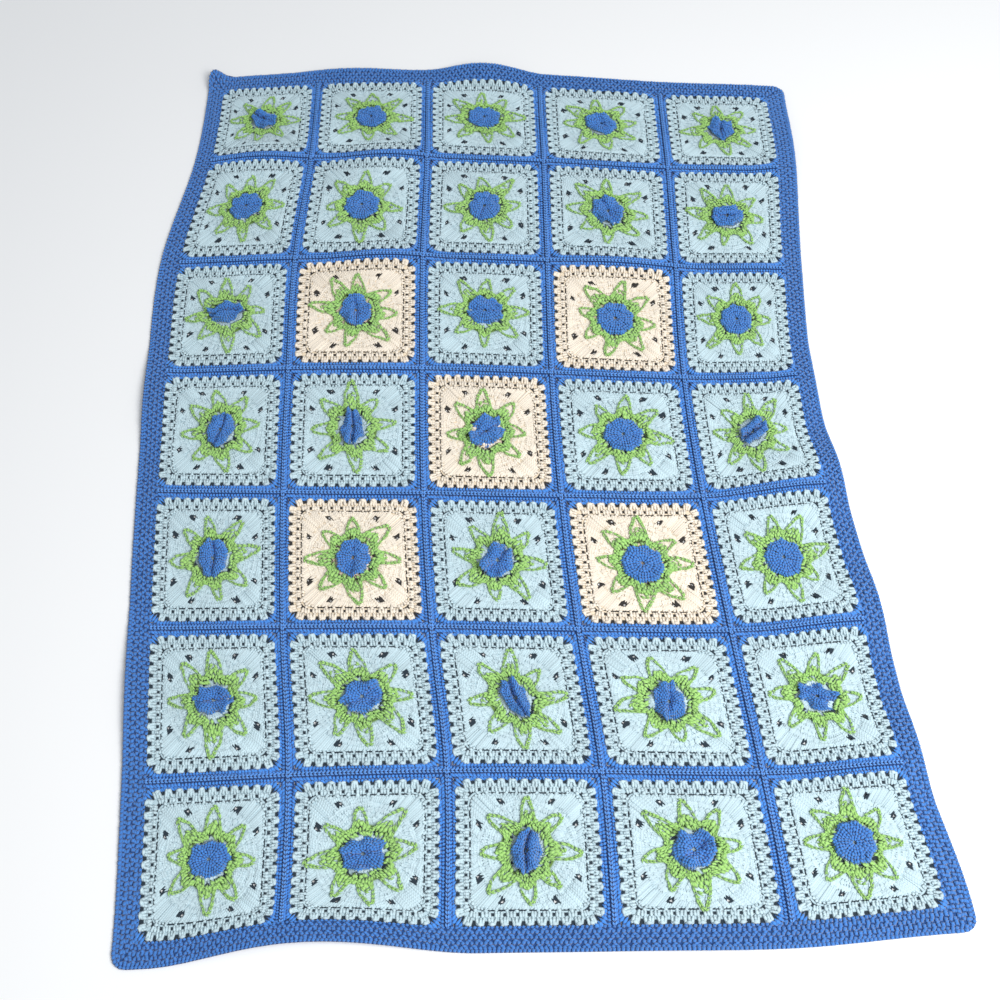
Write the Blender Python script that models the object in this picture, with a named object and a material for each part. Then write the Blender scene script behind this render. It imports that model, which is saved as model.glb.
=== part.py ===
"""Granny square blanket, laid out on a floor.

Thirty-five crocheted squares, five across and seven down, are joined by a blue net with a raised
braid, and a blue border is worked round them. Each square is one piece: a flower that stands up in
its middle, an eight-pointed star round it and a ground with eight triangular gaps.

Every piece is first made flat in its own place on a regular layout. Then its points are carried to
the blanket as it really lies: its sides lean and bow, and low ripples lift it off the floor.
Metres, +X to the right, +Y towards the far edge, +Z up, the floor at z = 0.
"""

import math

import bmesh
import bpy
from mathutils import Matrix, Vector

# ---------------------------------------------------------------- driving dimensions
MM = 0.001
COLUMNS = 5
ROWS = 7
PITCH = 176 * MM             # from one square's middle to the next
SQUARE = 161 * MM            # one square across its last round of clusters
BORDER = 26 * MM             # width of the border
SHEET = 3 * MM               # thickness of the crochet
GAP = 0.3 * MM               # room between neighbouring pieces
BRAID_HEIGHT = 2.4 * MM      # the joining braid above the sheet
BRAID_INSET = 5.2 * MM       # from a square's edge to the foot of the braid's crown
CORNER_ROUND = 15 * MM       # rounding of the border's four corners
CORNER_STEPS = 3
SPOKES = 16                  # points round a square: eight star points and eight between them
HOLE_REACH = 5.4 * MM        # middle of a triangular gap to its corners
HOLE_PLACES = [(0.68, 0.35), (0.35, 0.68)]   # two gaps in a quarter, as shares of half the square
PETAL_FOLD_RISE = 2.5 * MM   # how far a folded flower stands up along its crease
MIDDLE_X = 27.05 * MM        # where the middle of the box round the laid blanket falls in the
MIDDLE_Y = -17.45 * MM       # regular layout; the origin is moved there

# Rounds of a square, from the middle of its underside out and back to its middle on top.
# Reach is a share of half the square at the star's points and between them; height is in mm.
#        round               at points   between   height
ROUNDS = [
    ("underside middle",       0.00,      0.00,      0.0),
    ("underside of the star",  0.72,      0.46,      0.0),
    ("underside edge",         1.00,      1.00,      0.0),
    ("top edge",               1.00,      1.00,      3.0),
    ("foot of the star",       0.72,      0.46,      3.0),
    ("crest of the star",      0.65,      0.40,      4.6),
    ("foot of the flower",     0.33,      0.29,      3.8),
    ("tips of the petals",     0.30,      0.23,      8.4),
    ("heart of the flower",    0.00,      0.00,      5.6),
]
FLOWER_ROUNDS = 3            # the last rounds belong to the flower

# How the blanket lies: for each line across it, how far the line has moved from the regular
# layout, in mm. Shift is its move to the right, stretch the extra at its right end and swell the
# extra at both ends; rise is its move away from the viewer, tilt the extra at its right end and
# bow the extra at both ends.
#        line              shift  stretch  swell  rise  tilt   bow
LINES = [
    ("far edge",            -15,    -30,    18,    -35,  -10,   -20),
    ("under row 1",         -14,    -25,    13,     -3,  -10,   -13),
    ("under row 2",         -20,    -15,    -5,      0,   -7,   -12),
    ("under row 3",         -18,    -17,    -8,      0,   -6,    -6),
    ("under row 4",          -8,    -11,    -2,      1,    1,    10),
    ("under row 5",           9,     -4,     2,     -1,    2,     5),
    ("under row 6",          30,     -1,    -1,      1,    8,    -2),
    ("near edge",            42,     10,    16,      3,   16,     2),
]
MIDDLE_SHARE = 0.4           # where swell and bow change over from less to more, of a line's half
# The same for each line along it, added to the move above, in mm.
#        line              shift   rise
UPRIGHTS = [
    ("left edge",             3,    -2),
    ("right of column 1",    -5,     2),
    ("right of column 2",    -1,     3),
    ("right of column 3",     0,    -1),
    ("right of column 4",     7,    -5),
    ("right edge",           -3,     3),
]

# Ripples that stand off the floor. Place counts squares right of and beyond the middle square,
# turn is the ripple's direction in degrees from +X, length and width are half sizes in squares,
# height is in mm, and push is how far the ripple moves the cloth away from the viewer, in mm.
#        ripple                     right   beyond   turn  length  width  height  push
RIPPLES = [
    ("far left ear",                -2.66,   3.72,     45,   0.34,   0.30,    24,    14),
    ("far edge over column 2",      -1.20,   3.66,      4,   0.62,   0.26,     6,     0),
    ("far edge over column 3",       0.02,   3.62,     -8,   0.55,   0.34,    11,     6),
    ("row 1 seam in column 1",      -2.02,   2.52,      8,   0.62,   0.34,     9,     0),
    ("row 1 seam in column 2",      -0.85,   2.46,     22,   0.60,   0.34,     8,     0),
    ("row 2 seam in column 2",      -0.80,   1.46,     20,   0.60,   0.32,     8,     0),
    ("row 2 seam in column 4",       1.05,   1.50,     -6,   0.70,   0.36,     8,     0),
    ("right edge by row 1",          2.55,   2.70,     84,   0.85,   0.34,     9,     0),
    ("right edge by row 4",          2.50,   0.42,     60,   0.50,   0.30,     8,     0),
    ("seam under row 4, right",      2.35,  -0.42,     18,   0.90,   0.40,    14,     0),
    ("seam under row 5, right",      2.45,  -1.42,     20,   0.85,   0.38,    12,     0),
    ("seam under row 6, right",      2.50,  -2.40,     16,   0.80,   0.40,    13,     0),
    ("left edge by row 4",          -2.60,   0.30,     80,   0.55,   0.26,     7,     0),
    ("left edge by row 6",          -2.62,  -1.90,     96,   0.60,   0.24,     6,     0),
    ("near edge under column 2",    -1.35,  -3.70,      0,   1.05,   0.60,     8,    18),
    ("near edge under column 4",     0.90,  -3.68,      2,   0.70,   0.22,     5,     0),
]

# Flowers that lie folded: the square, the crease's direction in degrees and the width that is
# left across it as a share of the open flower.
#      row  column  crease  width
FOLDED = [
    (1,     1,      15,    0.72),
    (1,     4,     100,    0.70),
    (2,     4,     120,    0.66),
    (2,     5,      20,    0.60),
    (3,     1,       5,    0.52),
    (3,     2,      90,    0.70),
    (4,     1,      75,    0.68),
    (4,     2,      90,    0.66),
    (4,     5,      45,    0.62),
    (5,     1,      90,    0.66),
    (5,     3,     160,    0.72),
    (6,     3,     130,    0.66),
    (7,     2,      90,    0.74),
    (7,     3,      80,    0.58),
]

# colours as the photograph shows them: red, green, blue of the finished yarn, linear
PALE_BLUE = (0.63, 0.76, 0.88)
CREAM = (0.84, 0.79, 0.62)
BLUE = (0.07, 0.20, 0.50)
YARN_ROUGHNESS = 0.9
CREAM_SQUARES = {(3, 2), (3, 4), (4, 3), (5, 2), (5, 4)}

HALF = SQUARE / 2
SIDE_STEP = math.tan(math.pi / 8)          # a square's side is also cut where two spokes meet it
REACH_X = (COLUMNS / 2 - 0.5) * PITCH + HALF + GAP    # inner edge of the border
REACH_Y = (ROWS / 2 - 0.5) * PITCH + HALF + GAP


# ---------------------------------------------------------------- how the blanket lies
def smooth(values, place):
    """Read a row of values at a place between them, along a smooth curve through them all."""
    last = len(values) - 1
    step = min(max(int(math.floor(place)), 0), last - 1)
    t = min(max(place - step, -0.2), 1.2)
    before = values[max(step - 1, 0)]
    here, there = values[step], values[step + 1]
    after = values[min(step + 2, last)]
    slope_here = (there - before) / 2
    slope_there = (after - here) / 2
    return ((2 * t**3 - 3 * t**2 + 1) * here + (t**3 - 2 * t**2 + t) * slope_here
            + (3 * t**2 - 2 * t**3) * there + (t**3 - t**2) * slope_there)


def ripples_at(right, beyond):
    """Height of the cloth's underside above the floor and its push away from the viewer, both
    exactly nought outside the ripples."""
    height, push = 0.0, 0.0
    for _, at_right, at_beyond, turn, length, width, top, moved in RIPPLES:
        angle = math.radians(turn)
        dx, dy = right - at_right, beyond - at_beyond
        along = (dx * math.cos(angle) + dy * math.sin(angle)) / length
        across = (dy * math.cos(angle) - dx * math.sin(angle)) / width
        share = max(1 - along**2 - across**2, 0) ** 2
        height += top * MM * share
        push += moved * MM * share
    return height, push


def lay(point):
    """Carry a point of the regular layout to the blanket as it lies."""
    right, beyond = point.x / PITCH, point.y / PITCH
    line = ROWS / 2 - beyond
    upright = right + COLUMNS / 2
    share = 2 * right / COLUMNS
    shift, stretch, swell, rise, tilt, bow = (
        smooth([row[column] for row in LINES], line) for column in range(1, 7))
    own_shift, own_rise = (
        smooth([row[column] for row in UPRIGHTS], upright) for column in range(1, 3))
    ends = share**2 - MIDDLE_SHARE
    move_x = (shift + stretch * share + swell * ends + own_shift) * MM
    move_y = (rise + tilt * share + bow * ends + own_rise) * MM
    height, push = ripples_at(right, beyond)
    return Vector((point.x + move_x - MIDDLE_X, point.y + move_y + push - MIDDLE_Y,
                   point.z + height))


def lay_mesh(mesh):
    for vertex in mesh.vertices:
        vertex.co = lay(vertex.co)
    mesh.update()


# ---------------------------------------------------------------- scene, collections, materials
def clear_scene():
    for item in list(bpy.data.objects):
        bpy.data.objects.remove(item, do_unlink=True)


def new_collection(name):
    collection = bpy.data.collections.new(name)
    bpy.context.scene.collection.children.link(collection)
    return collection


def yarn(name, colour):
    material = bpy.data.materials.new(name)
    material.use_nodes = True
    shader = material.node_tree.nodes["Principled BSDF"]
    shader.inputs["Base Color"].default_value = (*colour, 1)
    shader.inputs["Roughness"].default_value = YARN_ROUGHNESS
    shader.inputs["Metallic"].default_value = 0
    return material


def add_object(name, mesh, collection, material=None):
    item = bpy.data.objects.new(name, mesh)
    collection.objects.link(item)
    if material:
        mesh.materials.append(material)
    return item


def mark_guide(item):
    """A guide or cutter only helps to make the pieces and isn't one of them."""
    item.hide_render = True
    item.display_type = "WIRE"


def finish_mesh(work, name):
    """Turn a worked-out shape into triangles, so that laying it bends no face."""
    bmesh.ops.recalc_face_normals(work, faces=work.faces)
    bmesh.ops.triangulate(work, faces=work.faces, quad_method="SHORT_EDGE", ngon_method="BEAUTY")
    mesh = bpy.data.meshes.new(name)
    work.to_mesh(mesh)
    work.free()
    return mesh


# ---------------------------------------------------------------- squares
def round_point(spoke, at_points, between, height):
    """A point of one round: its reach runs from the star's points to the places between them,
    and the outermost round follows the square's straight sides."""
    angle = 2 * math.pi * spoke / SPOKES
    reach = at_points if spoke % 2 == 0 else between
    if at_points == 1:
        reach = 1 / max(abs(math.cos(angle)), abs(math.sin(angle)))
    return Vector((HALF * reach * math.cos(angle), HALF * reach * math.sin(angle), height * MM))


def square_body(collection):
    """One flat square, turned round its middle like the crochet's own rounds."""
    work = bmesh.new()
    turns, rounds = SPOKES, len(ROUNDS) - 1
    bmesh.ops.create_grid(work, x_segments=turns, y_segments=rounds, size=1)
    for vertex in work.verts:
        spoke = round((vertex.co.x + 1) / 2 * turns)
        _, at_points, between, height = ROUNDS[round((vertex.co.y + 1) / 2 * rounds)]
        vertex.co = round_point(spoke % turns, at_points, between, height)
    bmesh.ops.remove_doubles(work, verts=work.verts, dist=0.01 * MM)
    bmesh.ops.recalc_face_normals(work, faces=work.faces)
    mesh = bpy.data.meshes.new("square_pattern")
    work.to_mesh(mesh)
    work.free()
    item = add_object("square_pattern", mesh, collection)
    mark_guide(item)
    return item


def gap_cutters(collection):
    """Eight three-sided bars that cut the triangular gaps, each pointing at the flower."""
    work = bmesh.new()
    for quarter in range(4):
        for x, y in HOLE_PLACES:
            turn = Matrix.Rotation(quarter * math.pi / 2, 4, "Z")
            place = turn @ Vector((x * HALF, y * HALF, SHEET / 2))
            point_in = Matrix.Rotation(math.atan2(place.y, place.x) + math.pi / 2, 4, "Z")
            bmesh.ops.create_cone(
                work, cap_ends=True, segments=3, radius1=HOLE_REACH, radius2=HOLE_REACH,
                depth=4 * SHEET, matrix=Matrix.Translation(place) @ point_in)
    mesh = bpy.data.meshes.new("gap_cutters")
    work.to_mesh(mesh)
    work.free()
    item = add_object("gap_cutters", mesh, collection)
    mark_guide(item)
    return item


def flat_square(guides):
    """The flat square with its gaps cut, as a mesh of triangles."""
    body = square_body(guides)
    cut = body.modifiers.new("triangular gaps", "BOOLEAN")
    cut.object = gap_cutters(guides)
    cut.operation = "DIFFERENCE"
    cut.solver = "EXACT"
    evaluated = body.evaluated_get(bpy.context.evaluated_depsgraph_get())
    work = bmesh.new()
    work.from_mesh(evaluated.to_mesh())
    evaluated.to_mesh_clear()
    return finish_mesh(work, "flat_square")


def fold_flower(mesh, crease, width):
    """Draw the petals in across a crease and let them stand up along it."""
    lowest = ROUNDS[-FLOWER_ROUNDS][3] * MM
    reach = ROUNDS[-FLOWER_ROUNDS + 1][1] * HALF
    angle = math.radians(crease)
    along = Vector((math.cos(angle), math.sin(angle), 0))
    across = Vector((-math.sin(angle), math.cos(angle), 0))
    for vertex in mesh.vertices:
        flat = Vector((vertex.co.x, vertex.co.y, 0))
        if vertex.co.z <= lowest + GAP or flat.length > reach + GAP:
            continue
        side = flat.dot(across)
        rise = PETAL_FOLD_RISE * (1 - abs(side) / reach)
        vertex.co = along * flat.dot(along) + across * side * width + Vector((0, 0, vertex.co.z + rise))


def add_squares(parts, guides):
    pattern = flat_square(guides)
    pale, cream = yarn("pale blue yarn", PALE_BLUE), yarn("cream yarn", CREAM)
    folds = {(row, column): (crease, width) for row, column, crease, width in FOLDED}
    for row in range(1, ROWS + 1):
        for column in range(1, COLUMNS + 1):
            name = f"square_r{row}c{column}"
            mesh = pattern.copy()
            mesh.name = name
            if (row, column) in folds:
                fold_flower(mesh, *folds[row, column])
            middle = Vector(((column - (COLUMNS + 1) / 2) * PITCH, ((ROWS + 1) / 2 - row) * PITCH, 0))
            mesh.transform(Matrix.Translation(middle))
            lay_mesh(mesh)
            add_object(name, mesh, parts, cream if (row, column) in CREAM_SQUARES else pale)
    bpy.data.meshes.remove(pattern)


# ---------------------------------------------------------------- joining net and border
def stations(count, inner):
    """Cuts across the layout in one direction: each square's two edges, its middle and the two
    places between, then the last cut on each side moved to the given reach."""
    cuts = []
    for index in range(count):
        middle = (index - (count - 1) / 2) * PITCH
        for share in (-1, -SIDE_STEP, 0, SIDE_STEP, 1):
            room = GAP if abs(share) == 1 else 0
            cuts.append(middle + share * HALF + math.copysign(room, share))
    cuts[0], cuts[-1] = -inner, inner
    return cuts


def sheet_of(cuts_x, cuts_y, keep):
    """A sheet cut at the given places across and along, with only the wanted cells kept."""
    work = bmesh.new()
    steps_x, steps_y = len(cuts_x) - 1, len(cuts_y) - 1
    bmesh.ops.create_grid(work, x_segments=steps_x, y_segments=steps_y, size=1)
    for vertex in work.verts:
        step_x = round((vertex.co.x + 1) / 2 * steps_x)
        step_y = round((vertex.co.y + 1) / 2 * steps_y)
        vertex.co = Vector((cuts_x[step_x], cuts_y[step_y], 0))
    spare = [face for face in work.faces if not keep(face.calc_center_median())]
    bmesh.ops.delete(work, geom=spare, context="FACES")
    return work


def thicken(work):
    """Give the flat sheet its thickness and return its top faces."""
    under = list(work.faces)
    raised = bmesh.ops.extrude_face_region(work, geom=under, use_keep_orig=True)
    top_points = [part for part in raised["geom"] if isinstance(part, bmesh.types.BMVert)]
    bmesh.ops.translate(work, verts=top_points, vec=(0, 0, SHEET))
    bmesh.ops.recalc_face_normals(work, faces=work.faces)
    return [face for face in work.faces if face.normal.z > 0.9]


def in_strip(place, count):
    """True where a place lies between two squares, counted in one direction."""
    from_middle = (place / PITCH + count / 2) % 1 - 0.5
    return abs(from_middle) * PITCH > HALF


def add_joining(parts, blue):
    """The net between the squares, with the braid raised along the middle of every strip."""
    cuts_x = stations(COLUMNS, REACH_X - GAP)
    cuts_y = stations(ROWS, REACH_Y - GAP)
    work = sheet_of(cuts_x, cuts_y, lambda c: in_strip(c.x, COLUMNS) or in_strip(c.y, ROWS))
    top = thicken(work)
    bmesh.ops.inset_region(work, faces=top, thickness=BRAID_INSET, depth=BRAID_HEIGHT,
                           use_boundary=True, use_even_offset=True)
    mesh = finish_mesh(work, "joining")
    lay_mesh(mesh)
    add_object("joining", mesh, parts, blue)


def add_border(parts, blue):
    """The border, a flat band with rounded corners round the joined squares."""
    cuts_x = stations(COLUMNS, REACH_X)
    cuts_y = stations(ROWS, REACH_Y)
    edge_x, edge_y = REACH_X + BORDER, REACH_Y + BORDER
    cuts_x = [-edge_x, *cuts_x, edge_x]
    cuts_y = [-edge_y, *cuts_y, edge_y]
    work = sheet_of(cuts_x, cuts_y, lambda c: abs(c.x) > REACH_X or abs(c.y) > REACH_Y)
    thicken(work)
    corners = [edge for edge in work.edges
               if all(abs(v.co.x) > edge_x - GAP and abs(v.co.y) > edge_y - GAP for v in edge.verts)]
    bmesh.ops.bevel(work, geom=corners, offset=CORNER_ROUND, segments=CORNER_STEPS,
                    profile=0.5, affect="EDGES")
    mesh = finish_mesh(work, "border")
    lay_mesh(mesh)
    add_object("border", mesh, parts, blue)


def main():
    clear_scene()
    parts = new_collection("granny square blanket")
    guides = new_collection("cutters")
    add_squares(parts, guides)
    blue = yarn("blue yarn", BLUE)
    add_joining(parts, blue)
    add_border(parts, blue)


main()
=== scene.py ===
import math

import bmesh
import bpy
import numpy as np
from mathutils import Matrix


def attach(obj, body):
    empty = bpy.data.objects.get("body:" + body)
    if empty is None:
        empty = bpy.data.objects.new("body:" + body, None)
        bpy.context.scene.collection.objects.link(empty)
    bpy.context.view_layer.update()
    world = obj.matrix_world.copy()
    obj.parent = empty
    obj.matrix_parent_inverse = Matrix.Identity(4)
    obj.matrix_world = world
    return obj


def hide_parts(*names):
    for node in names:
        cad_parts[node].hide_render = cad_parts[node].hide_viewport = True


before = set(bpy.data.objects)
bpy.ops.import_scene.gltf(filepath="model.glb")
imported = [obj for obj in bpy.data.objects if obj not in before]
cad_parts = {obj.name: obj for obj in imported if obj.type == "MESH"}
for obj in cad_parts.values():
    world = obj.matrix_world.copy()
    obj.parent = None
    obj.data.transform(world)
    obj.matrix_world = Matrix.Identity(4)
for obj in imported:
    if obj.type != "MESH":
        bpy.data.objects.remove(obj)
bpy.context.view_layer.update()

# ------------------------------------------------------------ how the blanket lies
# A lap blanket of 35 crocheted squares, five across and seven down, laid out on a floor. Each
# piece is first made flat on a regular layout, in metres from its middle, and then carried to
# the blanket as it lies: its sides lean and bow, and low ripples lift it off the floor.
MM = 0.001
COLUMNS, ROWS = 5, 7
PITCH = 176 * MM             # from one square's middle to the next
HALF = 80.5 * MM             # half a square
BORDER = 26 * MM
GAP = 0.3 * MM               # between a square and what is joined to it
MIDDLE_X, MIDDLE_Y = 27.05 * MM, -17.45 * MM     # middle of the box round the lying blanket
REACH_X = (COLUMNS / 2 - 0.5) * PITCH + HALF + GAP    # inner edge of the border
REACH_Y = (ROWS / 2 - 0.5) * PITCH + HALF + GAP
MIDDLE_SHARE = 0.4           # squared share of the half width where swell and bow are nought
SWELL = 1.6 * MM             # low swells between the ripples

# Each line across the blanket, far edge first: how far it has moved, in mm.
#    shift  stretch  swell  rise  tilt   bow
LINES = [
    (-15,    -30,     18,   -35,  -10,   -20),
    (-14,    -25,     13,    -3,  -10,   -13),
    (-20,    -15,     -5,     0,   -7,   -12),
    (-18,    -17,     -8,     0,   -6,    -6),
    (-8,     -11,     -2,     1,    1,    10),
    (9,       -4,      2,    -1,    2,     5),
    (30,      -1,     -1,     1,    8,    -2),
    (42,      10,     16,     3,   16,     2),
]
# Each line along it, left edge first, in mm.
#    shift  rise
UPRIGHTS = [(3, -2), (-5, 2), (-1, 3), (0, -1), (7, -5), (-3, 3)]
# Ripples: place, half length and half width in squares, turn in degrees, height and push in mm.
#    right  beyond  turn  length  width  height  push
RIPPLES = [
    (-2.66,  3.72,   45,   0.34,   0.30,   24,    14),
    (-1.20,  3.66,    4,   0.62,   0.26,    6,     0),
    (0.02,   3.62,   -8,   0.55,   0.34,   11,     6),
    (-2.02,  2.52,    8,   0.62,   0.34,    9,     0),
    (-0.85,  2.46,   22,   0.60,   0.34,    8,     0),
    (-0.80,  1.46,   20,   0.60,   0.32,    8,     0),
    (1.05,   1.50,   -6,   0.70,   0.36,    8,     0),
    (2.55,   2.70,   84,   0.85,   0.34,    9,     0),
    (2.50,   0.42,   60,   0.50,   0.30,    8,     0),
    (2.35,  -0.42,   18,   0.90,   0.40,   14,     0),
    (2.45,  -1.42,   20,   0.85,   0.38,   12,     0),
    (2.50,  -2.40,   16,   0.80,   0.40,   13,     0),
    (-2.60,  0.30,   80,   0.55,   0.26,    7,     0),
    (-2.62, -1.90,   96,   0.60,   0.24,    6,     0),
    (-1.35, -3.70,    0,   1.05,   0.60,    8,    18),
    (0.90,  -3.68,    2,   0.70,   0.22,    5,     0),
]


def smooth(values, place):
    """Read a row of values at places between them, along a smooth curve through them all."""
    values = np.array(values, float)
    last = len(values) - 1
    step = np.clip(np.floor(place).astype(int), 0, last - 1)
    t = np.clip(place - step, -0.2, 1.2)
    before, here = values[np.maximum(step - 1, 0)], values[step]
    there, after = values[step + 1], values[np.minimum(step + 2, last)]
    slope_here = (there - before) / 2
    slope_there = (after - here) / 2
    return ((2 * t**3 - 3 * t**2 + 1) * here + (t**3 - 2 * t**2 + t) * slope_here
            + (3 * t**2 - 2 * t**3) * there + (t**3 - t**2) * slope_there)


def along_and_across(x, y, angle):
    """Coordinates along a direction and across it."""
    return x * math.cos(angle) + y * math.sin(angle), y * math.cos(angle) - x * math.sin(angle)


def lay(points):
    """Carry points of the regular layout to the blanket as it lies."""
    right, beyond = points[:, 0] / PITCH, points[:, 1] / PITCH
    line, upright = ROWS / 2 - beyond, right + COLUMNS / 2
    share = 2 * right / COLUMNS
    shift, stretch, swell, rise, tilt, bow = (smooth(row, line) for row in zip(*LINES))
    own_shift, own_rise = (smooth(row, upright) for row in zip(*UPRIGHTS))
    ends = share**2 - MIDDLE_SHARE
    height = SWELL * (2 + np.sin(5.1 * right + 1.3) * np.sin(4.3 * beyond)
                      + np.sin(2.3 * right - 3.1 * beyond)) / 4
    push = np.zeros(len(points))
    for at_right, at_beyond, turn, length, width, top, moved in RIPPLES:
        along, across = along_and_across(right - at_right, beyond - at_beyond, math.radians(turn))
        raised = np.maximum(1 - (along / length)**2 - (across / width)**2, 0) ** 2
        height = height + top * MM * raised
        push = push + moved * MM * raised
    move_x = (shift + stretch * share + swell * ends + own_shift) * MM - MIDDLE_X
    move_y = (rise + tilt * share + bow * ends + own_rise) * MM - MIDDLE_Y + push
    return points + np.stack([move_x, move_y, height], axis=1)


def square_middle(row, column):
    """Middle of a square in the regular layout, rows counted from the far edge."""
    return np.array([(column - (COLUMNS + 1) / 2) * PITCH, ((ROWS + 1) / 2 - row) * PITCH, 0])


def points_of(mesh):
    """A mesh's points as an array."""
    found = np.empty(len(mesh.vertices) * 3)
    mesh.vertices.foreach_get("co", found)
    return found.reshape(-1, 3)


def lay_mesh(mesh, middle=(0, 0, 0), shaped=None):
    """Shape a flat mesh, move it to its square and lay it with the blanket."""
    points = points_of(mesh)
    if shaped:
        points = shaped(points)
    mesh.vertices.foreach_set("co", lay(points + np.array(middle)).ravel())
    mesh.update()
    return mesh


def add_piece(name, mesh):
    """Put a finished mesh in the scene as a piece at the origin."""
    mesh.name = name
    piece = bpy.data.objects.new(name, mesh)
    bpy.context.scene.collection.objects.link(piece)
    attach(piece, "root")
    return piece


# ------------------------------------------------------------ the squares' sheets
# The crochet of each square as a thin sheet, with the eight triangular gaps that its corner
# fans leave, cut through. It is what shows between the stitches that stand on it: from above,
# yarn with painted shade for the shade of its neighbours, and the yarn's own colour from below.
SHEET = 1.4 * MM
CELLS = 16                   # cells across a square's sheet
SHEET_HALF = 79.6 * MM
HOLE_REACH = 2.4 * MM        # middle of a triangular gap to its corners
HOLE_CUT = 5 * MM            # how far the cutters reach above and below
HOLE_PLACES = [(0.68, 0.35), (0.35, 0.68)]     # a quarter's two gaps, in shares of HALF
CREAM_SQUARES = {(3, 2), (3, 4), (4, 3), (5, 2), (5, 4)}

# Where shade is painted on the sheet, in shares of HALF from its middle: either straight away
# from it or along a rounded square's reach. Each pair says where a painted shade begins and where it
# is full.
SQUARENESS = 9               # how square the lines of equal reach are
# Painted deep shade between the last clusters and round each triangular gap.
UNDER_LAST_CLUSTERS = (0.915, 0.930)
ROUND_A_GAP = (0.105, 0.085)
# Under the star's ring the sheet takes the star's own green yarn, darkened as painted shade.
UNDER_STAR = ((0.40, 0.37), (0.31, 0.34))      # green from outside and from inside
STAR_GREEN_IN_PAINTED_SHADE = "#6f8f45"
SPOT_SCALE, SPOTS = 11.0, (0.50, 0.56)
# Bands of painted deep shade along the groove, the row of small holes and in spots round the flower.
#    band, measured, middle, half width
PAINTED_SHADE_BANDS = [
    ("groove inside the ridge", "reach", 0.787, 0.014),
    ("row of small holes", "reach", 0.842, 0.026),
    ("spots round the flower", "away", 0.305, 0.055),
]


def linear(code):
    """An sRGB hex value as linear red, green, blue and alpha."""
    parts = [int(code[i:i + 2], 16) / 255 for i in (1, 3, 5)]
    return [p / 12.92 if p <= 0.04045 else ((p + 0.055) / 1.055) ** 2.4 for p in parts] + [1]


def add(tree, kind, *values, **settings):
    """Add a node with its settings. Values go to its inputs in order, or by number or name in a
    dictionary; a node or socket is linked, and None leaves an input as it is."""
    node = tree.nodes.new(kind)
    for name, value in settings.items():
        setattr(node, name, value)
    given = values[0] if values and isinstance(values[0], dict) else dict(enumerate(values))
    for key, value in given.items():
        if isinstance(value, bpy.types.Node):
            value = value.outputs[0]
        if isinstance(value, bpy.types.NodeSocket):
            tree.links.new(value, node.inputs[key])
        elif value is not None:
            node.inputs[key].default_value = value
    return node


def calc(tree, how, *values):
    """Add a node that calculates with numbers."""
    return add(tree, "ShaderNodeMath", *values, operation=how)


def vector(tree, how, *values):
    """Add a node that calculates with vectors."""
    return add(tree, "ShaderNodeVectorMath", *values, operation=how)


def ramp(tree, value, limits):
    """Add a node that goes from 0 to 1 between two limits."""
    return add(tree, "ShaderNodeMapRange", value, *limits)


def dyed(tree, share, *colours):
    """Mix two colours, each an sRGB hex value or a socket."""
    first, second = (linear(c) if isinstance(c, str) else c for c in colours)
    return add(tree, "ShaderNodeMix", {0: share, 6: first, 7: second}, data_type="RGBA").outputs[2]


def new_material(name, roughness, sheen=0.0):
    """A material of the given roughness and sheen, with its tree and the inputs of its shader."""
    material = bpy.data.materials.new(name)
    material.use_nodes = True
    inputs = material.node_tree.nodes["Principled BSDF"].inputs
    inputs["Roughness"].default_value = roughness
    inputs["Sheen Weight"].default_value = sheen
    return material, material.node_tree, inputs


def slab(cuts_x, cuts_y, keep, thickness):
    """A flat sheet cut at the given places, with the wanted cells kept, and thickened."""
    work = bmesh.new()
    steps_x, steps_y = len(cuts_x) - 1, len(cuts_y) - 1
    bmesh.ops.create_grid(work, x_segments=steps_x, y_segments=steps_y, size=1)
    for vertex in work.verts:
        step_x = round((vertex.co.x + 1) / 2 * steps_x)
        step_y = round((vertex.co.y + 1) / 2 * steps_y)
        vertex.co = (cuts_x[step_x], cuts_y[step_y], 0)
    spare = [face for face in work.faces if not keep(*face.calc_center_median().xy)]
    bmesh.ops.delete(work, geom=spare, context="FACES")
    raised = bmesh.ops.extrude_face_region(work, geom=list(work.faces), use_keep_orig=True)
    top = [part for part in raised["geom"] if isinstance(part, bmesh.types.BMVert)]
    bmesh.ops.translate(work, verts=top, vec=(0, 0, thickness))
    bmesh.ops.recalc_face_normals(work, faces=work.faces)
    mesh = bpy.data.meshes.new("slab")
    work.to_mesh(mesh)
    work.free()
    return mesh


def finish_slab(mesh, top_yarn, under_yarn):
    """Give a sheet the layout in metres as its UV map, and its two materials: between the
    stitches, in painted shade, and underneath."""
    places = points_of(mesh)
    corners = np.empty(len(mesh.loops), int)
    mesh.loops.foreach_get("vertex_index", corners)
    flat = mesh.uv_layers.new(name="layout")
    flat.data.foreach_set("uv", places[corners][:, :2].ravel())
    mesh.materials.append(top_yarn)
    mesh.materials.append(under_yarn)
    for face in mesh.polygons:
        face.material_index = 1 if face.normal.z < -0.5 else 0
    return mesh


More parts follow.
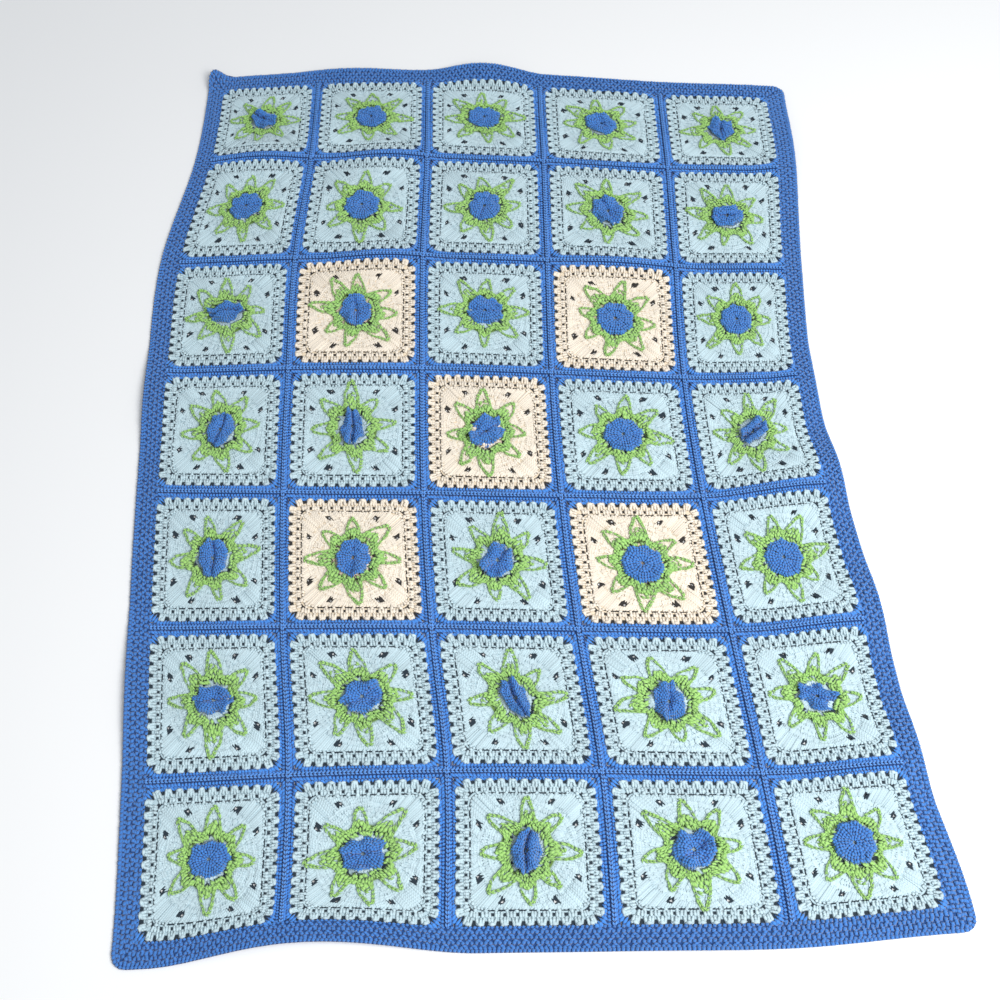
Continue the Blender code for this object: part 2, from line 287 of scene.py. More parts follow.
def yarn_in_painted_shade(name, near, deep):
    """Worsted yarn seen between the stitches, with shade painted in: painted half shade on the
    ground, where they lie close, and painted deep shade along the bands, round the triangular
    gaps and between the last clusters."""
    material, tree, inputs = new_material(name, roughness=0.95)
    place = vector(tree, "MULTIPLY", add(tree, "ShaderNodeUVMap", uv_map="layout"),
                   (1 / HALF, 1 / HALF, 0))
    folded = vector(tree, "ABSOLUTE", place)
    sides = add(tree, "ShaderNodeSeparateXYZ",
                vector(tree, "POWER", folded, (SQUARENESS, SQUARENESS, 1)))
    total = calc(tree, "ADD", sides.outputs[0], sides.outputs[1])
    measures = {"reach": calc(tree, "POWER", total, 1 / SQUARENESS),
                "away": vector(tree, "LENGTH", place).outputs[1]}
    # Mask of painted deep shade, starting between the last clusters.
    painted_shade_mask = ramp(tree, measures["reach"], UNDER_LAST_CLUSTERS)
    spots = ramp(tree, add(tree, "ShaderNodeTexNoise", {0: place, 2: SPOT_SCALE}), SPOTS)
    for _, measured, middle, width in PAINTED_SHADE_BANDS:
        off = calc(tree, "ABSOLUTE", calc(tree, "SUBTRACT", measures[measured], middle))
        band = ramp(tree, off, (width, width * 0.7))
        if measured == "away":
            band = calc(tree, "MULTIPLY", band, spots)
        painted_shade_mask = calc(tree, "MAXIMUM", painted_shade_mask, band)
    for across, along in HOLE_PLACES:
        gap = vector(tree, "DISTANCE", folded, (across, along, 0)).outputs[1]
        painted_shade_mask = calc(tree, "MAXIMUM", painted_shade_mask, ramp(tree, gap, ROUND_A_GAP))
    green = calc(tree, "MULTIPLY", *(ramp(tree, measures["away"], side) for side in UNDER_STAR))
    # Painted shade: near is the yarn in painted half shade, deep is painted deep shade, and under the
    # star's ring the star's green yarn shows in painted shade.
    colour = dyed(tree, painted_shade_mask, dyed(tree, green, near, STAR_GREEN_IN_PAINTED_SHADE), deep)
    tree.links.new(colour, inputs["Base Color"])
    return material


def plain_underside(name, light, groove, bumps=3.4 * MM, patches=24 * MM):
    """The wrong side of crochet in worsted acrylic yarn: matt, in rows of small bumps with painted
    shade in the hollows between them, and lighter and darker in patches."""
    material, tree, inputs = new_material(name, roughness=0.9, sheen=0.2)
    place = add(tree, "ShaderNodeTexCoord").outputs["Object"]
    cells = add(tree, "ShaderNodeTexVoronoi", {0: place, 2: 1 / bumps}).outputs["Distance"]
    worn = add(tree, "ShaderNodeTexNoise", {0: place, 2: 1 / patches})
    # Painted shade darkens the hollows between the bumps; the patches are uneven tone.
    share = ramp(tree, calc(tree, "MULTIPLY_ADD", cells, 0.7, worn), (0.5, 1.1))
    bump = add(tree, "ShaderNodeBump", {0: 0.6, 1: 0.6 * MM, 3: cells}, invert=True)
    tree.links.new(dyed(tree, share, light, groove), inputs["Base Color"])
    tree.links.new(bump.outputs[0], inputs["Normal"])
    return material


# Each sheet's colours: its yarn in painted half shade, and painted deep shade.
pale_yarn_in_painted_shade = yarn_in_painted_shade("pale_blue_yarn_in_painted_shade_between_stitches", "#bcd4dc", "#27343e")
cream_yarn_in_painted_shade = yarn_in_painted_shade("cream_yarn_in_painted_shade_between_stitches", "#f0dfc4", "#33302e")
under_pale = plain_underside("pale_blue_yarn_wrong_side", "#d0e3e9", "#98b1ba")
under_cream = plain_underside("cream_yarn_wrong_side", "#f3e8d4", "#cbb798")

edges = list(np.linspace(-SHEET_HALF, SHEET_HALF, CELLS + 1))
whole = bpy.data.objects.new("whole_sheet", slab(edges, edges, lambda x, y: True, SHEET))
bpy.context.scene.collection.objects.link(whole)
work = bmesh.new()
for quarter in range(4):
    for across, along in HOLE_PLACES:
        angle = quarter * math.pi / 2 + math.atan2(along, across)
        away = math.hypot(across, along) * HALF
        place = Matrix.Rotation(angle, 4, "Z") @ Matrix.Translation((away, 0, 0))
        bmesh.ops.create_cone(work, cap_ends=True, segments=3, radius1=HOLE_REACH,
                              radius2=HOLE_REACH, depth=2 * HOLE_CUT,
                              matrix=place @ Matrix.Rotation(math.pi / 2, 4, "Z"))
gap_mesh = bpy.data.meshes.new("gap_cutters")
work.to_mesh(gap_mesh)
work.free()
cutters = bpy.data.objects.new("gap_cutters", gap_mesh)
bpy.context.scene.collection.objects.link(cutters)
cut = whole.modifiers.new("triangular gaps", "BOOLEAN")
cut.object = cutters
cut.operation = "DIFFERENCE"
cut.solver = "EXACT"
bpy.context.view_layer.update()
sheet_pattern = bpy.data.meshes.new_from_object(
    whole.evaluated_get(bpy.context.evaluated_depsgraph_get()))
for guide in (whole, cutters):
    bpy.data.objects.remove(guide)
sheet_pattern.materials.clear()

sheets = {}
for row in range(1, ROWS + 1):
    for column in range(1, COLUMNS + 1):
        cream = (row, column) in CREAM_SQUARES
        mesh = finish_slab(sheet_pattern.copy(), cream_yarn_in_painted_shade if cream else pale_yarn_in_painted_shade,
                           under_cream if cream else under_pale)
        lay_mesh(mesh, square_middle(row, column))
        piece = add_piece(f"square_r{row}c{column}_sheet", mesh)
        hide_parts(f"square_r{row}c{column}")
        sheets[row, column] = piece

# ------------------------------------------------------------ the squares' stitches
# The rounds of each square's ground, in pale blue or cream worsted yarn: tall stitches that fan
# out to the corners, a fine ridge, a round of clusters of three and the last, open round of
# clusters. Each is worked round the one before it, so a stitch runs from one path to the next.


def bead(name, sides, rings, edged=False):
    """A closed stitch along X, one unit long, wide and high, that stands on z = 0. Rings are
    (place along it, half width, lowest, highest). Its UV map runs along and round it, and
    depth is 0 on its crest and 1 at its root. Edged ones, which lie flat and close, are shaded
    smooth over the top alone."""
    places = [(-0.5, 0, (rings[0][2] + rings[0][3]) / 2)]
    for along, wide, low, high in rings:
        for side in range(sides):
            turn = 2 * math.pi * side / sides + math.pi / 2
            places.append((along, wide * math.cos(turn),
                           (low + high) / 2 + (high - low) / 2 * math.sin(turn)))
    places.append((0.5, 0, (rings[-1][2] + rings[-1][3]) / 2))
    last = len(places) - 1
    faces = []
    for side in range(sides):
        after = (side + 1) % sides
        faces.append((0, 1 + after, 1 + side))
        for ring in range(len(rings) - 1):
            start, end = 1 + ring * sides, 1 + (ring + 1) * sides
            faces.append((start + side, start + after, end + after, end + side))
        start = 1 + (len(rings) - 1) * sides
        faces.append((start + side, start + after, last))
    mesh = bpy.data.meshes.new(name)
    mesh.from_pydata(places, [], faces)
    around = mesh.uv_layers.new(name="stitch")
    for face in mesh.polygons:
        for corner in face.loop_indices:
            along, across, up = places[mesh.loops[corner].vertex_index]
            around.data[corner].uv = (along + 0.5, math.atan2(across, up - 0.4) / (2 * math.pi))
    # depth also tells the yarn where to paint shade, towards a stitch's root.
    depth = mesh.attributes.new("depth", "FLOAT", "POINT")
    depth.data.foreach_set("value", [min(max(1 - point[2], 0), 1) for point in places])
    work = bmesh.new()
    work.from_mesh(mesh)
    bmesh.ops.recalc_face_normals(work, faces=work.faces)
    work.to_mesh(mesh)
    work.free()
    mesh.shade_smooth()
    widest = {1 + ring * sides + side for ring in range(len(rings)) for side in (1, sides - 1)}
    for edge in mesh.edges:
        edge.use_edge_sharp = edged and set(edge.vertices) <= widest | {0, last}
    holder = bpy.data.objects.new(name, mesh)
    bpy.context.scene.collection.objects.link(holder)
    return holder


POST_RINGS = [(-0.32, 0.40, 0.0, 0.82), (0.34, 0.50, 0.0, 1.0)]
KNOT_RINGS = [(0.08, 0.50, 0.0, 1.0)]
stitches = {
    "post": bead("tall_stitch", 4, POST_RINGS),
    "flat post": bead("flat_tall_stitch", 4, POST_RINGS, edged=True),
    "knot": bead("short_stitch", 5, KNOT_RINGS),
    "flat knot": bead("flat_short_stitch", 5, KNOT_RINGS, edged=True)}

# The columns of a table of rounds after its stitch, the kind of each and what it is worth. The
# last five are for clusters and gaps alone.
ROUND_COLUMNS = [
    ("Half across", "Float", MM), ("Corner", "Float", MM), ("Reach", "Float", MM),
    ("Outer corner", "Float", MM), ("Count", "Int", 1), ("Lean", "Float", 1),
    ("Turn", "Float", 1), ("Overlap", "Float", 1), ("Width", "Float", MM),
    ("Height", "Float", MM), ("Lift", "Float", MM), ("Uneven", "Float", 1),
    ("Bundle", "Int", 1), ("Foot spread", "Float", 1), ("Head spread", "Float", 1),
    ("Gap share", "Float", 1), ("Gap foot", "Float", 1)]
GAP_PLACE = 0.197            # of a triangular gap, in sides of the square from a side's middle


def new_tree(name, inputs=()):
    """A tree that works stitches, with named inputs."""
    tree = bpy.data.node_groups.new(name, "GeometryNodeTree")
    for title, kind in inputs:
        tree.interface.new_socket(title, in_out="INPUT", socket_type="NodeSocket" + kind)
    tree.interface.new_socket("Stitches", in_out="OUTPUT", socket_type="NodeSocketGeometry")
    return tree


def chance(tree, low, high, seed=None, index=None):
    """Add a random number for each stitch."""
    return add(tree, "FunctionNodeRandomValue", {2: low, 3: high, 7: index, 8: seed},
               data_type="FLOAT").outputs[1]


def between(tree, share, start, end):
    """Add a point between two."""
    return add(tree, "ShaderNodeMix", {0: share, 4: start, 5: end}, data_type="VECTOR").outputs[1]


def marked(tree, links, long, tone):
    """Note on every stitch its own tone and its length, for the yarn's pattern."""
    for name, value in (("tone", tone), ("long", long)):
        links = add(tree, "GeometryNodeStoreNamedAttribute", {0: links, 2: name, 3: value},
                    data_type="FLOAT", domain="INSTANCE")
    return links


def finish_tree(tree, links, material):
    """Make the stitches real, of one yarn, and give them out."""
    real = add(tree, "GeometryNodeRealizeInstances", links)
    add(tree, "NodeGroupOutput", add(tree, "GeometryNodeSetMaterial", {0: real, 2: material}))


def round_of_stitches():
    """A node group that works one round: every stitch has its foot on one path and its head on
    a wider one. With an outer corner of 0 or less it stands straight across one path instead,
    its middle that far outside the path. Bundle gathers stitches in clusters, and near the
    square's gaps, which Gap share tells by their half width, a stitch starts at Gap foot of its
    length."""
    tree = new_tree("round of stitches", [
        ("Stitch", "Object"), ("Half along", "Float"), ("Seed", "Int"),
        *(column[:2] for column in ROUND_COLUMNS)])
    given = add(tree, "NodeGroupInput").outputs
    paths = []
    for grown, corner in ((0, "Corner"), (1, "Outer corner")):
        halves = [calc(tree, "MULTIPLY_ADD", given["Reach"], grown, given[side])
                  for side in ("Half across", "Half along")]
        outline = add(tree, "GeometryNodeCurvePrimitiveQuadrilateral",
                      *(calc(tree, "MULTIPLY", half, 2.0) for half in halves))
        path = add(tree, "GeometryNodeFilletCurve", outline, 8, given[corner], True, mode="POLY")
        before = calc(tree, "SUBTRACT", halves[1], given[corner])
        start = calc(tree, "DIVIDE", before, add(tree, "GeometryNodeCurveLength", path))
        paths.append((path, start))
    index = add(tree, "GeometryNodeInputIndex")
    bundle = calc(tree, "FLOOR", calc(tree, "DIVIDE", index, given["Bundle"]))
    first = calc(tree, "MULTIPLY", bundle, given["Bundle"])
    within = calc(tree, "SUBTRACT", index, first)
    middle = calc(tree, "MULTIPLY_ADD", given["Bundle"], 0.5, -0.5)
    from_middle = calc(tree, "DIVIDE", calc(tree, "SUBTRACT", within, middle), given["Bundle"])
    bundles = calc(tree, "DIVIDE", given["Count"], given["Bundle"])
    randoms = [chance(tree, -1.0, 1.0, calc(tree, "MULTIPLY_ADD", given["Seed"], 10.0,
                                            float(number)), index) for number in range(5)]
    jitter = calc(tree, "MULTIPLY", given["Uneven"], 0.5)
    places = []
    for random, spread, lean in ((randoms[0], "Foot spread", 0.0),
                                 (randoms[1], "Head spread", given["Lean"])):
        own = calc(tree, "MULTIPLY_ADD", from_middle, given[spread], bundle)
        moved = calc(tree, "ADD", calc(tree, "ADD", own, given["Turn"]), lean)
        shaken = calc(tree, "MULTIPLY_ADD", random, jitter, moved)
        places.append(calc(tree, "DIVIDE", calc(tree, "ADD", shaken, 0.5), bundles))
    straight = calc(tree, "LESS_THAN", given["Outer corner"], 0.1 * MM)
    ends = []
    for (path, start), share, side in zip(paths, places, (-0.5, 0.5)):
        spots = []
        for curve, begin in ((path, start), paths[0]):
            factor = calc(tree, "FRACT", calc(tree, "SUBTRACT", share, begin))
            spots.append(add(tree, "GeometryNodeSampleCurve", {0: curve, 2: factor},
                             mode="FACTOR"))
        outward = vector(tree, "CROSS_PRODUCT", spots[1].outputs[2], (0, 0, 1))
        length = calc(tree, "SUBTRACT", calc(tree, "MULTIPLY", given["Reach"], side),
                      given["Outer corner"])
        square_end = vector(tree, "ADD", spots[1].outputs[1],
                            vector(tree, "SCALE", {0: outward, 3: length}))
        ends.append(between(tree, straight, spots[0].outputs[1], square_end))
    quarter = calc(tree, "FRACT", calc(tree, "MULTIPLY", places[0], 4.0))
    off_middle = calc(tree, "ABSOLUTE", calc(tree, "SUBTRACT", quarter, 0.5))
    from_gap = calc(tree, "ABSOLUTE", calc(tree, "SUBTRACT", off_middle, GAP_PLACE))
    near = calc(tree, "LESS_THAN", from_gap, given["Gap share"])
    cut_off = calc(tree, "MULTIPLY", near, given["Gap foot"])
    head = ends[1]
    foot = between(tree, cut_off, ends[0], head)
    way = vector(tree, "SUBTRACT", head, foot)
    halfway = between(tree, calc(tree, "MULTIPLY_ADD", randoms[2], jitter, 0.5), foot, head)
    bob = calc(tree, "MULTIPLY", given["Uneven"], given["Height"])
    lifted = calc(tree, "MULTIPLY_ADD", randoms[2], bob, given["Lift"])
    raised = vector(tree, "ADD", halfway, add(tree, "ShaderNodeCombineXYZ", 0.0, 0.0, lifted))
    dots = add(tree, "GeometryNodePoints", given["Count"], raised)
    turned = add(tree, "FunctionNodeAlignRotationToVector", {2: way}, axis="X", pivot_axis="Z")
    size = [calc(tree, "MULTIPLY", vector(tree, "LENGTH", way).outputs[1], given["Overlap"])]
    for random, side in ((randoms[3], "Width"), (randoms[4], "Height")):
        more = calc(tree, "MULTIPLY_ADD", random, given["Uneven"], 1.0)
        size.append(calc(tree, "MULTIPLY", more, given[side]))
    shape = add(tree, "GeometryNodeObjectInfo", given["Stitch"]).outputs["Geometry"]
    links = add(tree, "GeometryNodeInstanceOnPoints",
                {0: dots, 2: shape, 5: turned, 6: add(tree, "ShaderNodeCombineXYZ", *size)})
    tone = chance(tree, -1.0, 1.0, given["Seed"])
    add(tree, "NodeGroupOutput", marked(tree, links, size[0], tone))
    return tree


one_round = round_of_stitches()

TWIST = 3.2 * MM             # length in which the plies turn once
FIBRES, PATCHES = 0.9 * MM, 60 * MM
# How much a stitch's own tone, its fibres and broad patches lighten or darken the yarn.
TONE_SHARE, FIBRE_SHARE, PATCH_SHARE = 0.07, 0.30, 0.16


def yarn(name, light, shade, grooves=(0.25, 0.95)):
    """Worsted acrylic yarn of three twisted plies, worked into stitches. It is matt with a soft
    sheen, with painted shade darkening the grooves between stitches, slightly uneven in tone,
    and each strand shows its twist. Grooves tells how deep they are when the painted shade
    darkens them."""
    material, tree, inputs = new_material(name, roughness=0.82, sheen=0.35)
    inputs["Sheen Roughness"].default_value = 0.5
    depth, tone, length = (add(tree, "ShaderNodeAttribute", attribute_name=which).outputs["Fac"]
                           for which in ("depth", "tone", "long"))
    place = add(tree, "ShaderNodeTexCoord").outputs["Object"]
    around = add(tree, "ShaderNodeSeparateXYZ", add(tree, "ShaderNodeUVMap", uv_map="stitch"))
    along = calc(tree, "MULTIPLY", around.outputs[0], length)
    turns = calc(tree, "MULTIPLY_ADD", along, 1 / TWIST, around.outputs[1])
    ply = calc(tree, "SINE", calc(tree, "MULTIPLY", turns, 2 * math.pi))
    fibre = add(tree, "ShaderNodeTexNoise", {0: place, 2: 1 / FIBRES, 3: 2.0})
    patch = add(tree, "ShaderNodeTexNoise", {0: place, 2: 1 / PATCHES, 3: 1.0})
    value = 1 - (FIBRE_SHARE + PATCH_SHARE) / 2
    for measure, share in ((tone, TONE_SHARE), (fibre, FIBRE_SHARE), (patch, PATCH_SHARE)):
        value = calc(tree, "MULTIPLY_ADD", measure, share, value)
    # Painted shade: towards a stitch's root the light colour turns to the shade colour.
    colour = dyed(tree, ramp(tree, depth, grooves), light, shade)
    tinted = add(tree, "ShaderNodeHueSaturation", {2: value, 4: colour})
    rough = calc(tree, "MULTIPLY_ADD", fibre, 0.8, ply)
    bump = add(tree, "ShaderNodeBump", {0: 0.5, 1: 0.35 * MM, 3: rough})
    tree.links.new(tinted.outputs[0], inputs["Base Color"])
    tree.links.new(bump.outputs[0], inputs["Normal"])
    return material


def rounds_tree(name, table, material, about=(0, 0), change=None):
    """A tree that works every round of a table about a rectangle, one over another, and joins
    them. Change may add to them, and gives the node that holds them all."""
    tree = new_tree(name, [("Seed", "Int")])
    seed = add(tree, "NodeGroupInput").outputs[0]
    joined = add(tree, "GeometryNodeJoinGeometry")
    for number, (_, stitch, *sizes) in enumerate(table):
        own = {key: value * scale for (key, _, scale), value in zip(ROUND_COLUMNS, sizes)}
        own.setdefault("Bundle", 1)
        half = own["Half across"]
        own["Half across"], own["Half along"] = about[0] + half, about[1] + half
        own["Stitch"] = stitches[stitch]
        own["Seed"] = calc(tree, "MULTIPLY_ADD", seed, 30.0, float(number))
        node = add(tree, "GeometryNodeGroup", node_tree=one_round)
        for key, value in own.items():
            if isinstance(value, bpy.types.Node):
                tree.links.new(value.outputs[0], node.inputs[key])
            else:
                node.inputs[key].default_value = value
        tree.links.new(node.outputs[0], joined.inputs[0])
    finish_tree(tree, change(tree, seed, joined) if change else joined, material)
    return tree


def worked(tree, **inputs):
    """Evaluate a tree once and keep what it makes as a plain mesh."""
    holder = bpy.data.objects.new("work", bpy.data.meshes.new("work"))
    bpy.context.scene.collection.objects.link(holder)
    modifier = holder.modifiers.new("work", "NODES")
    modifier.node_group = tree
    for item in tree.interface.items_tree:
        if item.in_out == "INPUT" and item.name in inputs:
            modifier[item.identifier] = inputs[item.name]
    graph = bpy.context.evaluated_depsgraph_get()
    mesh = bpy.data.meshes.new_from_object(holder.evaluated_get(graph))
    holder.modifiers.clear()
    bpy.data.objects.remove(holder)
    own_yarn = mesh.materials[mesh.polygons[0].material_index]
    mesh.materials.clear()
    mesh.materials.append(own_yarn)
    mesh.polygons.foreach_set("material_index", [0] * len(mesh.polygons))
    return mesh


#    round, stitch, half, corner, reach, outer, count, lean, turn, overlap, width, height, lift,
#    uneven, bundle, foot, head, gap share, gap foot
GROUND = [
    ("round under the flower", "flat knot", 15.5, 15.5, 5.0, 20.5, 34, .3, 0, 1.4, 4.4, 2.0, .9,
     .26),
    ("first round", "flat knot", 33, 33, 6.4, 39.4, 78, .4, 0, 1.5, 4.9, 2.1, .8, .34),
    ("second round", "flat knot", 38.8, 38.8, 6.4, 45.2, 88, -.4, 0, 1.5, 4.9, 2.1, .8, .34),
    ("third round", "flat knot", 44.6, 44.6, 6.0, 50.6, 98, .4, 0, 1.5, 4.9, 2.1, .8, .34),
    ("fourth round", "flat knot", 49.8, 49.2, 6.4, 52.6, 112, -.3, 0, 1.5, 4.9, 2.1, .8, .30),
    ("corner fans", "flat post", 54.8, 51.0, 7.0, 12, 168, 0, 0, 1.08, 3.3, 2.6, .7,
     .22, 1, 1, 1, .042, .56),
    ("ridge", "knot", 60.4, 12, 2.4, 10, 116, .3, 0, 1.1, 4.9, 2.6, .8, .16),
    ("stitches across the groove", "knot", 62.0, 11, 3.2, 9, 44, .2, .25, 1.1, 5.2, 2.4, 1.0,
     .30),
    ("under the clusters", "knot", 67.4, 9.1, 6.0, 0, 40, 0, 0, 1.25, 9.6, 2.0, .5, .10),
    ("clusters between the small holes", "post", 67.4, 9.1, 6.8, 0, 120, 0, 0, 1.10, 4.0, 2.6, .8,
     .12, 3, .84, .72),
    ("last clusters", "post", 74.6, 12.5, 9.8, 0, 132, 0, .5, 1.08, 4.2, 3.1, .9,
     .14, 3, .98, .44),
    ("heads of the last clusters", "knot", 74.6, 12.5, 4.6, -2.9, 44, 0, .5, 1.2, 9.0, 3.9, 1.2,
     .10),
]
# Each yarn's second colour is the painted shade of its grooves.
FLAT_GROOVES_OF_PAINTED_SHADE = (0.3, 0.95)
pale_yarn = yarn("pale_blue_worsted_yarn", "#c7dee5", "#8fa9b4", FLAT_GROOVES_OF_PAINTED_SHADE)
cream_yarn = yarn("cream_worsted_yarn", "#f8ecda", "#c9b799", FLAT_GROOVES_OF_PAINTED_SHADE)
ground_trees = {False: rounds_tree("pale ground", GROUND, pale_yarn),
                True: rounds_tree("cream ground", GROUND, cream_yarn)}

for (row, column), sheet in sheets.items():
    cream = (row, column) in CREAM_SQUARES
    mesh = worked(ground_trees[cream], Seed=row * 10 + column)
    lay_mesh(mesh, square_middle(row, column))
    piece = add_piece(f"square_r{row}c{column}_stitches", mesh)

# ------------------------------------------------------------ the stars
# Green worsted yarn worked round each flower: a dense, slightly ruffled ring of chunky stitches,
# and a chain that runs out and back in eight open points and lies loose on the ground.


def paired(name, half_turn, apart, sides, rings):
    """Two stitches side by side that meet at one end, as the two strands of a chain stitch do."""
    one = bead(name, sides, rings)
    work = bmesh.new()
    for way in (-1, 1):
        before = len(work.verts)
        work.from_mesh(one.data)
        work.verts.ensure_lookup_table()
        for vertex in work.verts[before:]:
            x, y = along_and_across(vertex.co.x, vertex.co.y * 0.5, -half_turn * way)
            vertex.co.x, vertex.co.y = x, y + way * apart
    work.to_mesh(one.data)
    work.free()
    return one


stitches["link"] = paired("chain_stitch", math.radians(22), 0.22, 4, [(0.0, 0.5, 0.0, 1.0)])

#    round, stitch, half, corner, reach, outer, count, lean, turn, overlap, width, height, lift,
#    uneven, bundle, foot, head
STAR_RING = [
    ("inner clusters", "knot", 22.4, 22.4, 6.6, 29.0, 48, .2, 0, 1.25, 4.0, 2.8, 1.5,
     .25, 6, .76, .80),
    ("middle round", "knot", 28.2, 28.2, 4.2, 32.4, 52, -.4, 0, 1.4, 4.5, 3.1, 1.9, .30),
    ("outer round", "knot", 31.2, 31.2, 4.2, 35.4, 56, .5, 0, 1.4, 4.6, 3.1, 2.2, .35),
    ("edge of the ring", "knot", 34.0, 34.0, 3.6, 37.6, 60, -.3, 0, 1.4, 4.6, 2.6, 1.9, .35),
]
STAR_POINTS = 8
STAR_SPIKE = 0.10            # how far the ring is drawn out at the feet of the points
STAR_LOOSE = 3.8 * MM        # how far a point of a chain may stray
STAR_BEND, BENDS = 7 * MM, 14 * MM             # how far and how often a chain bends
LINK = (7.0 * MM, 4.8 * MM, 2.8 * MM)
# The chains round the ring: the long points, and one along their feet, in mm.
#    inner, outer, rounding, links, lift
CHAINS = [(32.0, 61.5, 2.6, 112, 2.3), (34.0, 38.0, 4.0, 40, 1.8)]
# How each flower lies, in rows from the far edge: the direction of its crease in degrees, the
# width left across it, how far it is folded along it, and how much its petals curl. The ring
# round it is drawn in with it.
#    crease, width, fold, curl
FLOWERS = [
    [(140, .72, .9, .5), (90, .92, .1, .5), (20, .96, .1, .4), (115, .88, .3, .5), (90, .8, .6, .7)],
    [(0, .86, .3, .5), (0, .95, .1, .3), (70, .88, .3, .4), (110, .82, .4, .6), (5, .78, .7, .5)],
    [(5, .56, 1, .9), (100, .78, .5, .6), (0, .84, .4, .8), (0, 1, 0, .2), (0, .92, 0, .25)],
    [(75, .76, .5, .7), (90, .62, .8, .8), (35, .8, .5, 1.1), (10, .94, .1, .3), (40, .66, 1, .7)],
    [(90, .8, .6, .8), (80, .84, .3, .5), (50, .78, .5, 1.1), (0, 1, 0, .2), (0, 1, 0, .25)],
    [(0, .72, .6, 1), (30, .78, .3, 1.1), (110, .62, 1, .7), (80, .74, .5, 1.1), (150, .68, .4, 1.3)],
    [(0, .78, .1, .5), (0, .8, .4, 1.1), (80, .58, 1, .7), (35, .82, .5, 1.2), (0, 1, 0, .5)]]
DRAWN_IN = 0.45              # share of a flower's narrowing that its ring follows


def with_chains(tree, seed, joined):
    """Add the chains along eight-pointed stars whose points stray."""
    stray = add(tree, "FunctionNodeRandomValue", {
        0: (-STAR_LOOSE,) * 2 + (0,), 1: (STAR_LOOSE,) * 2 + (0,),
        7: add(tree, "GeometryNodeInputIndex"), 8: seed}, data_type="FLOAT_VECTOR")
    longer = vector(tree, "SCALE", {0: stray, 3: 0.6})
    wave = add(tree, "ShaderNodeTexNoise", {0: add(tree, "GeometryNodeInputPosition"),
                                            1: seed, 2: 1 / BENDS}, noise_dimensions="4D")
    bent = vector(tree, "MULTIPLY",
                  vector(tree, "SUBTRACT", wave.outputs[1], (0.5, 0.5, 0.5)),
                  (STAR_BEND, STAR_BEND, 0))
    shape = add(tree, "GeometryNodeObjectInfo", stitches["link"]).outputs["Geometry"]
    tone = chance(tree, -1.0, 1.0, seed)
    for inner, outer, rounding, links, lift in CHAINS:
        outline = add(tree, "GeometryNodeCurveStar", STAR_POINTS, inner * MM, outer * MM, 0.0)
        strayed = add(tree, "GeometryNodeSetPosition", {0: outline, 3: stray})
        strayed = add(tree, "GeometryNodeSetPosition",
                      {0: strayed, 1: outline.outputs[1], 3: longer})
        rounded = add(tree, "GeometryNodeFilletCurve", strayed, 4, rounding * MM, True,
                      mode="POLY")
        dots = add(tree, "GeometryNodeCurveToPoints", {0: rounded, 1: links}, mode="COUNT")
        up = add(tree, "ShaderNodeCombineXYZ", 0.0, 0.0,
                 chance(tree, lift * MM, (lift + 0.8) * MM, seed))
        moved = add(tree, "GeometryNodeSetPosition", {0: dots, 3: vector(tree, "ADD", bent, up)})
        turned = add(tree, "FunctionNodeAlignRotationToVector", {2: dots.outputs[1]}, axis="X",
                     pivot_axis="Z")
        chain = add(tree, "GeometryNodeInstanceOnPoints", {0: moved, 2: shape, 5: turned, 6: LINK})
        tree.links.new(marked(tree, chain, LINK[0], tone).outputs[0], joined.inputs[0])
    return joined


def own_draws(row, column):
    """A square's random draws: how far its star and its flower are turned and set off the
    middle, and the source of the rest."""
    drawn = np.random.default_rng(row * 10 + column)
    return drawn.uniform(-0.16, 0.16), drawn.uniform(-2.2, 2.2, 2) * MM, drawn


def star_shape(row, column):
    """A function that sets a star a little off the middle, turned, out of round and drawn in
    with its flower."""
    turn, off, drawn = own_draws(row, column)
    oval, second = drawn.uniform(0, 6.28, 2)
    crease, width = FLOWERS[row - 1][column - 1][:2]
    angle = math.radians(crease)

    def shaped(points):
        x, y, z = points.T
        away, round_ = np.hypot(x, y), np.arctan2(y, x)
        feet = (np.clip((away - 27 * MM) / (6 * MM), 0, 1)
                * np.clip((50 * MM - away) / (8 * MM), 0, 1))
        away = away * (1 + STAR_SPIKE * np.cos(STAR_POINTS * round_) * feet)
        away = away * (1 + 0.05 * np.sin(2 * round_ + oval) + 0.04 * np.sin(5 * round_ + second))
        z = z + 1.2 * MM * (1 + np.sin(3 * round_ + second)) / 2 * (away < 40 * MM)
        x, y = away * np.cos(round_ + turn), away * np.sin(round_ + turn)
        along, across = along_and_across(x, y, angle)
        near = np.clip((50 * MM - away) / (18 * MM), 0, 1)
        across = across * (1 - DRAWN_IN * (1 - width) * near)
        x, y = along_and_across(along, across, -angle)
        return np.stack([x + off[0], y + off[1], z], axis=1)

    return shaped


def row_of_squares(row, tree, shape):
    """What a tree works at every square of a row, shaped and laid, as one mesh."""
    work = bmesh.new()
    for column in range(1, COLUMNS + 1):
        own = worked(tree, Seed=row * 10 + column)
        work.from_mesh(lay_mesh(own, square_middle(row, column), shape(row, column)))
    mesh = bpy.data.meshes.new("row of squares")
    work.to_mesh(mesh)
    work.free()
    mesh.materials.append(own.materials[0])
    return mesh


green_yarn = yarn("green_worsted_yarn", "#a9d979", "#608f42")
star = rounds_tree("star", STAR_RING, green_yarn, change=with_chains)
for row in range(1, ROWS + 1):
    piece = add_piece(f"stars_of_row_{row}", row_of_squares(row, star, star_shape))

